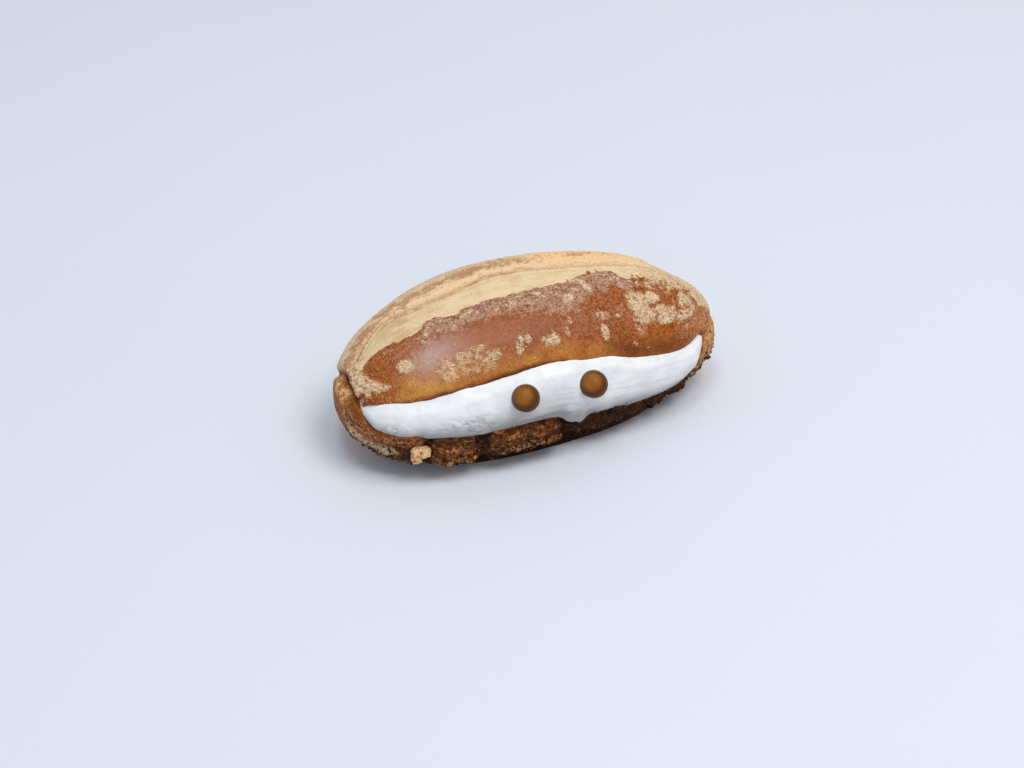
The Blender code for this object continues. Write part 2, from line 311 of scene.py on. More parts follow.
crust = {
    "stations": 372,
    "lidRows": 138,
    "baseRows": 76,
    "lipRows": 9,
    "rimRows": 6,
    "wallRows": 8,
    "backTurn": 0.05,
    "fold": (
        (-71, -5), (-66, 0.5), (-61, 5), (-55, 9.4), (-48, 11.6), (-40, 11.2), (-30, 11.8), (-18, 13.2),
        (-8, 14.6), (2, 13.6), (12, 11.8), (24, 10.4), (40, 9), (52, 7.8), (62, 5),
    ),
    "foldDepth": 1.7,
    "foldHalfWidth": 1.7,
    "bandEdge": (
        (-71, -7), (-65, -4), (-60, -1.6), (-52, -1), (-44, -1.2), (-39.5, -0.6), (-36.5, 2.2), (-28, 0.6),
        (-21, 2.2), (-10, 2.4), (4, 3.2), (18, 3.6), (23.5, 5.6), (33, 6), (38, 2.8), (48, 3.2), (60, 0),
    ),
    "bandDepth": 0.8,
    "bandEnds": (-66, 46),
    "crownFrom": (25.6, 34.6),  # the heights over which the score sets in
    "bandRagged": 1.1,
    "skinThickness": 0.35,
    "backLobeTrim": 0.8,
    "backLobeEnd": 52.5,
    "shoulderDrop": 1.6,
    # fine cracks: first and last x, how far behind the fold, depth
    "crackLines": ((-56, -20, -0.6, 0.45), (-62, -42, 2.4, 0.25), (-22, 10, 1, 0.3), (8, 44, 1.4, 0.15)),
    "crackHalfWidth": 0.38,
    # lumps of the toasted rim: x, half length, how far it stands out
    "rimLumps": ((-62, 6.5, -0.6), (-37, 8.5, 1.7), (-10, 14.5, 2.1), (25, 14, 1.1), (49, 8.5, 0.8)),
    "rimLumpZ": 12.5,
    "rimLumpHalfHeight": 7,
    "rimTop": 18,
    "tornFrom": (-51, -45),
    "tornTo": (52, 61),
    "tornDepth": 1.35,
    "gapDepth": 1,  # how far the torn edge lies back between the lumps
    "gapFrom": (-50, -45),
    "gapTo": (54, 60),
    "footTrim": 2,
    "leftTrim": 0.3,
    "rightTrim": 0.7,
    "cragHeight": 0.9,
    "cragSize": 6.5,
    "doughSwell": 0.6,
    "doughSize": 34,
}


def stationsAlong(count):  # x values that are evenly spaced round the roll's outline from above
    angle = np.linspace(0, np.pi, 4000)
    x = -roll["halfLength"] * signedPower(np.cos(angle), 2 / roll["planPower"])
    y = roll["halfWidth"] * np.sin(angle) ** (2 / roll["planPower"])
    length = np.concatenate([[0], np.cumsum(np.hypot(np.diff(x), np.diff(y)))])
    return np.interp(np.linspace(0, length[-1], count + 1), length, x)[1:-1]


def turnsBetween(x, first, last, count, density):  # turns spaced by the section's length and a density
    rows = np.empty((len(x), count))
    for i, station in enumerate(x):
        turn = np.linspace(first[i], last[i], 500)
        y, z = sectionPoint(station, turn)
        step = np.hypot(np.diff(y), np.diff(z)) * density((y[1:] + y[:-1]) / 2, (z[1:] + z[:-1]) / 2)
        length = np.concatenate([[0], np.cumsum(step + 1e-6)])
        rows[i] = np.interp(np.linspace(0, length[-1], count), length, turn)
    return rows


def turnGrid():
    # Rows run from the back over the crown to the lip, through the mouth, and from the rim under the base.
    x = stationsAlong(round(crust["stations"] * fine))
    reach = roll["crownRise"] * girth(x)
    middle = np.minimum(lineThrough(mouth["middle"], x), roll["waistHeight"] + 0.75 * reach)
    half = np.minimum(np.maximum(mouthHalf(x), 1), 0.2 * reach + 0.1)
    lipTurn, rimTurn = (np.minimum(mouth[key], 0.15 * reach + 0.05) for key in ("lipTurn", "rimTurn"))
    wave = rough(np.outer(x, (1, 0, 0)), 7, 3, 5)
    lip = half + mouth["lipWave"] * wave * mouthShare(x)
    back = np.full(len(x), crust["backTurn"])
    lid = turnsBetween(
        x, back, frontTurn(x, middle + lip + lipTurn), round(crust["lidRows"] * fine),
        lambda y, z: np.where(y > 17, 0.5, 1),
    )
    base = turnsBetween(
        x, frontTurn(x, middle - half - rimTurn), 2 * np.pi + back, round(crust["baseRows"] * fine) + 1,
        lambda y, z: np.where(y > 0, 0.5, 1) * np.where(z > 0, 1, 0.35),
    )[:, :-1]
    bend, out, side = openingRows()
    wall = np.where(side > 0, lip[:, None], half[:, None]) * (0.04 + 0.96 * out)
    bent = np.where(side > 0, lipTurn[:, None], rimTurn[:, None]) * (1 - np.sin(bend))
    z = middle[:, None] + side * (wall + bent)
    return x, np.concatenate([lid, frontTurn(x[:, None], z), base], axis=1)


def smoothPoints(x, turn):
    return np.stack([np.broadcast_to(x, turn.shape), *sectionPoint(x, turn)], axis=2)


def smoothNormals(x, turn):
    step = 0.01 * (roll["halfLength"] - np.abs(x))
    lengthwise = smoothPoints(x + step, turn) - smoothPoints(x - step, turn)
    around = smoothPoints(x, turn + 0.01) - smoothPoints(x, turn - 0.01)
    normal = np.cross(around, lengthwise)
    return normal / np.linalg.norm(normal, axis=2, keepdims=True)


def openingRows():  # for each row: how far its edge has bent in, how far out it lies, and its side
    lip = np.linspace(0, np.pi / 2, crust["lipRows"] + 1)[1:]
    rim = np.linspace(0, np.pi / 2, crust["rimRows"] + 1)[1:]
    wall = np.linspace(1, 0, crust["wallRows"] + 1)[1:]
    bend = np.concatenate([lip, np.full(2 * len(wall), np.pi / 2), rim[::-1]])
    out = np.concatenate([np.ones(len(lip)), wall, wall[::-1], np.ones(len(rim))])
    side = np.concatenate([np.ones(len(lip) + len(wall)), -np.ones(len(rim) + len(wall))])
    return bend, out, side


def scoreRelief(points):  # the crown's fold, its sunk pale band with a ragged edge, and the fine cracks
    x, y, z = np.moveaxis(points, -1, 0)
    crown = ramp(*crust["crownFrom"], z)
    first, last = crust["bandEnds"]
    length = window(x, (first - 4, first + 6), (last, last + 14))
    fold, edge = lineThrough(crust["fold"], x), lineThrough(crust["bandEdge"], x)
    lobe = 1 - ramp(crust["backLobeEnd"] - 3, crust["backLobeEnd"] + 2, x)
    ragged = crust["bandRagged"] * (1 + 0.7 * ramp(8, 28, x)) * rough(points * (1, 1, 0), 3.1, 4)
    before = 1 - ramp(fold - 1, fold + 1.5, y)
    inBand = ramp(-0.3, 0.3, y - edge + ragged) * before
    depth = mixed(0.3, 1, lobe) * (1 - 0.4 * ramp(34, 52, -x) - 0.5 * ramp(-14, 4, x))
    relief = -crust["foldDepth"] * bell(y - fold, crust["foldHalfWidth"]) * depth
    sunk = ramp(edge - 2.5, edge + 2, y) * before
    thickness = crust["skinThickness"]
    relief -= length * ((crust["bandDepth"] - thickness) * sunk + thickness * inBand)
    relief -= crust["backLobeTrim"] * bell(y - fold - 10, 8) * lobe
    relief -= crust["shoulderDrop"] * (1 - lobe) * ramp(fold - 2, fold + 5, y) * (1 - ramp(60, 68, x))
    crack = np.zeros(x.shape)
    wander = rough(points * (1, 0, 0), 7, 3)
    for start, end, offset, depth in crust["crackLines"]:
        line = bell(y - fold - offset - 1.1 * wander, crust["crackHalfWidth"])
        crack = np.maximum(crack, window(x, (start, start + 5), (end - 5, end)) * line * depth)
    return crown * (relief - crack), crown * length * inBand, crown * crack


def rimRelief(points):  # the base's toasted, torn edge: its relief, its crags, its lumps and where it is torn
    x, y, z = np.moveaxis(points, -1, 0)
    facing = 1 - ramp(-16, 4, y)
    low = 1 - ramp(crust["rimTop"] - 3, crust["rimTop"] + 3, z)
    torn = facing * (0.8 * low + window(x, crust["tornFrom"], crust["tornTo"]))
    middle = lineThrough(mouth["middle"], x)
    torn = np.minimum(1, torn) * (z < middle)
    below = ramp(0, 5, middle - mouthHalf(x) - z)
    calm = mixed(0.25, 1, below)
    relief = crust["cragHeight"] * rough(points, crust["cragSize"]) * (0.45 + 0.55 * facing) * low * calm
    wander = 2.2 * rough(points * (0, 0, 1), 5, 2, 33)
    up = np.minimum(1, np.abs(z - crust["rimLumpZ"]) / crust["rimLumpHalfHeight"])
    lump = np.zeros(x.shape)
    for lumpX, halfLength, stand in crust["rimLumps"]:
        share = np.minimum(1, np.abs(x + wander - lumpX) / halfLength)
        relief += stand * (1 - share**6) * (1 - up**4) * facing * low * calm
        lump = np.maximum(lump, (1 - share**16) * (stand > 0))
    relief -= crust["gapDepth"] * (1 - lump) * torn * below * window(x, crust["gapFrom"], crust["gapTo"])
    slanted = np.stack([0.42 * x, y, 1.35 * z + 0.3 * x], axis=-1)
    fibres = rough(slanted, 3, 4, 4)
    clods = ramp(0, 0.5, cracks(points * (0.7, 1, 1.5) + 1.3 * fibres[..., None], 6.5, 2))
    crumbs = rough(points, 1.2, 3, 8)
    ridges = 1 - 2 * np.abs(rough(slanted, 2.1, 2, 14))
    height = 0.4 * fibres + 0.6 * (clods - 0.8) + 0.28 * crumbs + 0.3 * (ridges - 0.5)
    height *= 1 - 0.3 * ramp(8, 16, x)
    relief += crust["tornDepth"] * torn * mixed(np.minimum(height, 0.1) - 0.5, height - 0.2, below)
    foot = mixed(0.7, crust["footTrim"], ramp(-20, 5, x)) + 1.2 * bell(x - 8, 12) + 1.4 * bell(x + 20, 7)
    relief -= foot * ramp(10, 2, z) * facing
    leftEnd = ramp(-40, -52, x) * ramp(24, 18, z) * (1 - ramp(-8, 2, y))
    relief -= crust["leftTrim"] * leftEnd + crust["rightTrim"] * ramp(40, 56, x) * ramp(32, 26, z) * facing
    return relief, 0.5 + 0.5 * height * torn, lump * torn, torn


def makeCrust():
    x, turn = turnGrid()
    smooth, normal = smoothPoints(x[:, None], turn), smoothNormals(x[:, None], turn)
    bend, out, side = openingRows()
    lidCount = round(crust["lidRows"] * fine)
    opening = slice(lidCount, lidCount + len(bend))
    dough = crust["doughSwell"] * rough(smooth * (1, 1.4, 1.4), crust["doughSize"])
    score, band, crack = scoreRelief(smooth)
    rim, crag, lump, torn = rimRelief(smooth)
    fold = foldRelief(*np.moveaxis(smooth, -1, 0))
    skin = dough + score + rim + fold
    skin *= ramp(0, roll["footRound"], smooth[..., 2]) * ramp(0.05, 0.2, girth(x))[:, None]
    skin[:, opening][:, out < 1] = fold[:, opening][:, out < 1]
    points = smooth + normal * skin[..., None]

    isOpen = ramp(0, mouth["sealedBelow"], mouthShare(x))[:, None]
    depth = np.where(side > 0, mouth["lipRound"], mouth["rimRound"]) * (1 - np.cos(bend))
    gap = points[:, opening] - normal[:, opening] * (isOpen * depth)[..., None]
    innerY, innerZ, innerHalf = mouthBottom(x)
    for sign, edgeRow in ((1, crust["lipRows"] - 1), (-1, len(bend) - crust["rimRows"])):
        walls = np.flatnonzero((side == sign) & (out < 1))
        inner = np.stack([x, innerY, innerZ + sign * (innerHalf + 0.05)], axis=1)
        straight = mixed(inner[:, None], gap[:, edgeRow][:, None], out[walls][None, :, None])
        gap[:, walls] = mixed(gap[:, walls], straight, isOpen[..., None])
    points[:, opening] = gap
    points[..., 2] = np.maximum(points[..., 2], 0)
    steps = np.linalg.norm(np.diff(points, axis=1), axis=2)
    lengths = np.concatenate([np.zeros((len(x), 1)), np.cumsum(steps, axis=1)], axis=1)
    up = lengths[:, lidCount - 1 : lidCount] - lengths  # how far above the lip, along the skin
    down = lengths - lengths[:, opening.stop : opening.stop + 1]  # how far below the rim
    return {
        "points": points, "normal": normal, "up": up, "down": down, "band": band, "crack": crack,
        "crag": crag, "lump": lump, "torn": torn, "lidCount": lidCount,
    }


def closedSkin(name, points):  # a closed mesh over stations by rows of points, with a tip at each end
    stations, rows = points.shape[:2]
    index = np.arange(stations * rows).reshape(stations, rows)
    after = np.roll(index, -1, axis=1)
    quads = np.stack([index[:-1], after[:-1], after[1:], index[1:]], axis=2).reshape(-1, 4)
    tip = stations * rows
    caps = [(tip, int(b), int(a)) for a, b in zip(index[0], after[0])]
    caps += [(tip + 1, int(a), int(b)) for a, b in zip(index[-1], after[-1])]
    ends = np.array([points[0].mean(axis=0), points[-1].mean(axis=0)])
    corners = np.concatenate([points.reshape(-1, 3), ends]) + (0, roll["placeY"], 0)
    mesh = bpy.data.meshes.new(name)
    mesh.from_pydata(corners * mm, [], quads.tolist() + caps)
    return mesh


def giveAttribute(mesh, name, values):  # one number for each of the mesh's points
    attribute = mesh.attributes.new(name, "FLOAT", "POINT")
    attribute.data.foreach_set("value", np.ravel(values).astype(np.float32))


def withTips(values):  # a closed skin's numbers, with those of its two tips added
    return np.append(values, np.ravel(values)[[0, -1]])


def placed(name, mesh, finish):
    made = bpy.data.objects.new(name, mesh)
    bpy.context.scene.collection.objects.link(made)
    mesh.materials.append(finish)
    mesh.shade_smooth()
    return made


powder = {
    # where powder lies on the lid: x, how far above the lip, half length, half height, how much, tilt
    "patches": (
        (-49, 10.2, 3.2, 2.8, 1), (-65.2, 12, 2.4, 5.2, 0.9), (-65, 5.6, 3.4, 4.4, 0.95),
        (-64.4, 1.2, 2.4, 2.8, 0.9), (-66.6, 1, 2, 4, 0.9), (-61.4, 3.7, 3.6, 2.6, 0.95, -6),
        (-57.6, 3.2, 2.6, 1.4, 0.6), (-34.6, 5.6, 4, 4.6, 0.56), (-28, 9, 4.4, 3.2, 0.6),
        (-27, 6.6, 10, 4.6, 0.44), (-22, 3.6, 7, 2.6, 0.4, -6), (-22.8, 10.6, 3.4, 1.8, 0.6),
        (-18.6, 6.2, 4.2, 2.6, 0.6, -8), (-7.6, 6.8, 1.8, 4, 0.76, -16), (-4.2, 8, 1.6, 2.2, 0.66),
        (5, 7, 2.5, 3.2, 0.76), (2, 6, 1.7, 2, 0.6), (14.6, 22.2, 2.4, 2.1, 0.95),
        (23.2, 25.4, 1.6, 2.2, 0.88, 30), (21.8, 28.4, 1.5, 2.3, 0.76, 20), (19, 29.6, 2.4, 1.6, 0.56),
        (24.7, 7.8, 1.6, 3.2, 0.9), (25.3, 14.2, 3.4, 2.2, 0.5), (40.2, 18.2, 4.4, 5.6, 0.9),
        (45.5, 19.9, 3.8, 2.8, 0.86), (41.5, 13, 5.6, 3, 0.8), (47.6, 14.6, 3.8, 2.8, 0.76),
        (38.6, 9.4, 2.6, 3.2, 0.46), (52.5, 13.6, 3, 2, 0.6), (60.6, 12, 2.6, 3, 0.7),
        (50.4, 11.6, 6, 2.7, 0.84, -6), (57, 9.4, 4.6, 2.5, 0.84, -12), (58.9, 13.6, 2.6, 4.6, 0.76),
        (61.3, 8.2, 2.3, 2.4, 0.74), (39.4, 1.6, 1.2, 0.5, 0.3), (35, 3.4, 1, 0.9, 0.45),
        (57, 4.4, 6, 3, 0.3), (12.7, 13.4, 1.1, 1.7, 0.5), (10.8, 9.4, 1.1, 2.4, 0.56),
        (30.9, 14, 1, 0.8, 0.8), (36.6, 21.2, 1.1, 1.3, 0.5), (34, 17, 4, 3, 0.22),
        (-54, 17, 6, 4, 0.2, 30), (-44, 20, 5, 2, 0.2, 10),
    ),
    # the line above which the right end is pale, and the line of powder on the left end's base
    "farEdge": ((44, 30), (50, 26), (57, 20.5), (62, 15.5), (66, 8), (70, 2)),
    "outerEdge": (
        (-72, 21.5), (-70.7, 20), (-68, 17.6), (-66, 16.4), (-63, 15.4), (-59.4, 14.2), (-54, 13.2),
        (-48, 12),
    ),
    "thickness": 0.36,
    "lumpiness": 1.1,
    "everywhere": 0.045,
}

# Soft spots of colour and finish. Heights are from the lip, from the band's edge or from the ground.
paint = {
    "glossy": ((-39, 13, 12, 8, 1),),
    "calm": ((-24, 20, 13, 7, 1),),
    # painted reflection: a pale lilac sheen below and left of the glossy spot, painted into the colour
    "pearl": ((-42, 6.5, 8.5, 4.5, 1),),
    "dusted": ((-30, 12, 4, 4, 0.14),),
    "toasted": ((2, 10, 8.5, 4.5, 0.4), (27, 10, 12, 6, 0.2)),
    "stippled": ((16, 13, -6.5, 4, 0.6),),
    "crusty": ((-35, 7, 9, 3.6, 1.1), (-14, 7, 9, 3.4, 1.1)),
}


def patchField(x, up):
    field = np.zeros(x.shape)
    for px, pup, half, halfUp, strength, *tilt in powder["patches"]:
        turn = math.radians(tilt[0]) if tilt else 0
        c, s = math.cos(turn), math.sin(turn)
        across, along = (x - px) * c + (up - pup) * s, (up - pup) * c - (x - px) * s
        field = np.maximum(field, strength * (1 - ramp(0.45, 1.4, np.hypot(across / half, along / halfUp))))
    return field


def paintFields(skin):  # what changes over the crust, as numbers from 0 to 1 at each point
    points, up = skin["points"], skin["up"]
    x, y, z = np.moveaxis(points, -1, 0)
    row = np.arange(points.shape[1])[None, :]
    above, shut, back = aboveFold(x, y, z)
    clump, broad = rough(points, 2.4, 4, 3), rough(points, 16, 2, 21)
    seam = 0.5 + 5.5 * back  # how far the two crusts blend where they meet
    meeting = ramp(-seam, seam, above + 3.5 * back * broad)
    lid = mixed((row < skin["lidCount"] + crust["lipRows"]) * 1, meeting, shut > 0.5)
    base = (1 - lid) * mixed(ramp(-0.6, 0.6, skin["down"]), 1, shut > 0.5)
    down = np.where(shut > 0.5, -above - 4, skin["down"])
    behindFold = y - lineThrough(crust["fold"], x)
    overBand = y - lineThrough(crust["bandEdge"], x)
    behind = ramp(-1, 1.5, behindFold)
    front, rear = lid * (1 - behind), lid * behind * ramp(-1.5, 2, above)

    # Powder: patches with crumbly edges, flecks and haze beside the band, and a thin veil all over.
    crumbly = 1 + 0.6 * clump + 0.6 * rough(points, 1, 3, 70)
    farEdge = ramp(-2.5, 2.5, up - lineThrough(powder["farEdge"], x) + 3 * clump) * ramp(40, 48, x)
    flecks = ramp(0.14, 0.4, rough(points * (0.6, 1, 1), 1.7, 4, 77))
    flecks *= bell(overBand + 3.4, 3.2) * ramp(-50, -40, x)
    patch = np.clip(patchField(x, up) * crumbly, 0, 1)
    patch = np.maximum(patch, np.maximum(1.1 * farEdge, 0.8 * flecks))
    nearBand = bell(overBand + 3, 4.4) * window(x, (-46, -34), (34, 52))
    stippled = 0.6 * bell(x - 8, 11) * ramp(13, 19, up) + spots(paint["stippled"], x, overBand)
    haze = 0.95 * nearBand + stippled + 0.5 * clump * ramp(0.05, 0.4, nearBand + stippled)
    haze = np.clip(haze, 0, 1)
    thin = powder["everywhere"] + 0.12 * haze + 0.12 * ramp(0, 0.5, broad + clump * 0.5)
    thin += 0.14 * ramp(48, 64, x) + 0.1 * ramp(50, 62, x) + 0.12 * ramp(34, 52, -x)
    thin += spots(paint["dusted"], x, up) - 0.09 * bell(x - 23, 12)
    thin -= 0.12 * ramp(6, 2, up) * window(x, (6, 28), (50, 58))
    outer = 0.8 * ramp(-53, -60, x) * bell(z - lineThrough(powder["outerEdge"], x), 2.7) * ramp(-6, -10, y)
    outer += 0.3 * ramp(46, 62, x) * bell(down - 5, 4)
    far = ramp(7, 13, behindFold) * ramp(24, 44, z + 6 * broad) * ramp(14, -14, x + 12 * clump)
    dust = front * np.maximum(patch, thin) + (1 - lid) * outer * (1 + 0.6 * clump)
    dust += lid * behind * (0.16 + 0.6 * far + 0.16 * ramp(20, 60, x))

    # The left end: a dark nick of painted shade in the crease where lid and base meet, and the lid's bare
    # edge over it, which also takes painted shade.
    nick = 0.9 * bell(above + 0.2, 1.1) + bell(above + 0.9, 2) * bell(y - 1.5, 3.8)
    cavity = np.clip(nick * shut * ramp(64.5, 67, -x) * ramp(10, 5, y), 0, 1)
    noseEdge = bell(up + 0.6, 1.2) * ramp(63.5, 66, -x) * ramp(2, -3, y)
    dust *= (1 - 0.9 * cavity) * (1 - 0.9 * noseEdge)

    # The lid's baked tones: warmer to the right, amber over the lip, toasted along the lip's edge, with
    # painted shade where the lip meets the cream.
    warm = 0.25 + 0.75 * ramp(-10, 18, x) + 0.5 * ramp(38, 56, -x) + 0.25 * ramp(14, 4, up)
    warm += 0.3 * broad - 0.3 * nearBand
    amber = ramp(7.5, 2, up + 2.5 * broad) * ramp(-3, -1.2, up) * ramp(-60, -46, x)
    amber *= (1 - 0.6 * bell(x + 19, 13)) * (1 - 0.4 * ramp(-8, 4, x)) * (1 - 0.6 * ramp(16, 34, x))
    toast = 0.8 * bell(up - 1.3, 3) * window(x, (20, 34), (52, 64)) + spots(paint["toasted"], x, up)
    # painted shade: under the lip inside the open mouth, in a thin line where the lip meets the cream, and
    # along the lid's edge over the nose
    toast += bell(up + 3.4, 1.3) * (1 - shut) * (0.3 + 0.7 * ramp(-50, -38, x))
    toast += 0.8 * window(x, (-46, -34), (4, 12)) * bell(up + 1.9, 0.7) + 0.9 * noseEdge
    strip = bell(behindFold - mixed(4.5, 7.5, ramp(-60, -20, x)), 4.2) * (1 - ramp(-4, 20, x))
    strip += 0.5 * ramp(4, 14, x) * bell(behindFold - 8.5, 3.2)
    streaks = rough(points * (0.5, 1, 1), 5, 3, 60)
    # a peach tone on the back lobe's upper right, painted brighter towards the top as painted light
    peach = ramp(0, 18, x + 6 * clump) * ramp(3, 5.5, behindFold + 1.5 * clump) * ramp(20, 44, z)

    # The base: warm shelves under the lid's ends, pale places at both ends and on the rim's lumps.
    shelf = ramp(65, 67.4, -x) * ramp(4.2, 1.6, down) * (1 - ramp(6, 12, y))
    shelf += 0.8 * ramp(58, 64, x) * ramp(6, 2, down)
    crusty = spots(paint["crusty"], x, z) + 0.6 * window(x, (24, 36), (60, 66)) * ramp(11, 15, z)
    crusty += 0.5 * bell(z - 6, 2.6) * window(x, (8, 15), (44, 54))
    pale = 0.5 * ramp(60, 66, x) + 0.8 * crusty * ramp(0.05, 0.35, rough(points, 1.7, 3, 90))
    pale += 0.7 * ramp(66.4, 68.2, -x) * window(y, (-9.5, -2.5), (6, 12)) * ramp(26.5, 29.5, z)
    pale += 1.3 * bell(y + 0.8, 3.2) * bell(z - 31, 2) * ramp(68.3, 69.4, -x)
    pale += 0.15 * bell(z - 27, 4) * ramp(68.8, 70.8, -x) * ramp(12, 4, y)
    # painted shade: the base is darker low down towards the floor; from x 8 to 44 it is also made darker as a
    # whole
    low = 1 - ramp(1, mixed(9, 17, ramp(-28, -18, x)), z)
    found = {
        "dust": dust,
        "haze": front * haze,
        "grit": front * ramp(2, 12, x) * ramp(3, 8, up + 2 * broad),
        "calm": front * spots(paint["calm"], x, up) * (1 - haze),
        "pearl": front * spots(paint["pearl"], x, up) * (1 - patch),
        "glossy": front * spots(paint["glossy"], x, up),
        "amber": front * amber,
        "warm": warm,
        "toast": lid * toast + 0.2 * ramp(0.2, 0.6, broad),
        "band": skin["band"],
        "aged": skin["band"] * 0.75 * bell(x + 47, 8),
        "crack": skin["crack"] * 2,
        "back": rear,
        "peach": rear * peach,
        "brown": rear * ramp(0.05, 1, 0.85 * strip + 0.4 * streaks + 0.3 * clump),
        "base": base,
        "rear": base * ramp(-4, 8, y),
        "shelf": base * shelf,
        "pale": base * pale,
        "soft": base * skin["torn"] * ramp(4, 18, x),
        "torn": skin["torn"],
        "crag": skin["crag"],
        "lump": skin["lump"] * (1 - 0.65 * ramp(6, 16, x)),
        "low": np.maximum(low, 0.42 * window(x, (8, 18), (26, 44))),
        "cavity": cavity,
    }
    return {name: np.clip(values, 0, 1) for name, values in found.items()}


crustLook = {
    "tones": {
        # the dark toasted brown on this line also colours the painted shade along the lip
        "rosy": (159, 88, 46), "orange": (160, 79, 22), "amber": (206, 143, 64), "toast": (92, 42, 18),
        # the pale lilac tone after mauve is a painted reflection, not a colour of the crust
        "mauve": (173, 129, 108), "pearl": (186, 142, 116), "bandPale": (232, 206, 166),
        "bandTan": (220, 184, 136), "bandAged": (200, 162, 116), "powderPale": (250, 224, 184),
        "powderTan": (190, 152, 114), "backTan": (236, 202, 160), "backPeach": (255, 205, 148),
        "backBrown": (180, 124, 84), "backBase": (164, 104, 60), "crack": (138, 86, 50),
        "shelf": (150, 80, 14), "endPale": (250, 202, 144), "endBrown": (108, 50, 20),
        # the red-brown on the next line after endTan is the painted shade of the crease at the left end
        "endRed": (162, 78, 28), "endTan": (190, 148, 108), "cavity": (120, 48, 10),
        "rimGold": (206, 134, 72), "rimBrown": (100, 56, 28), "rimDark": (38, 22, 12),
        "rimSoft": (78, 42, 18),
    },
    "skinRoughness": 0.36,
    "dryRoughness": 0.86,
    "skinCoat": 1,
    "shine": 0.08,
}


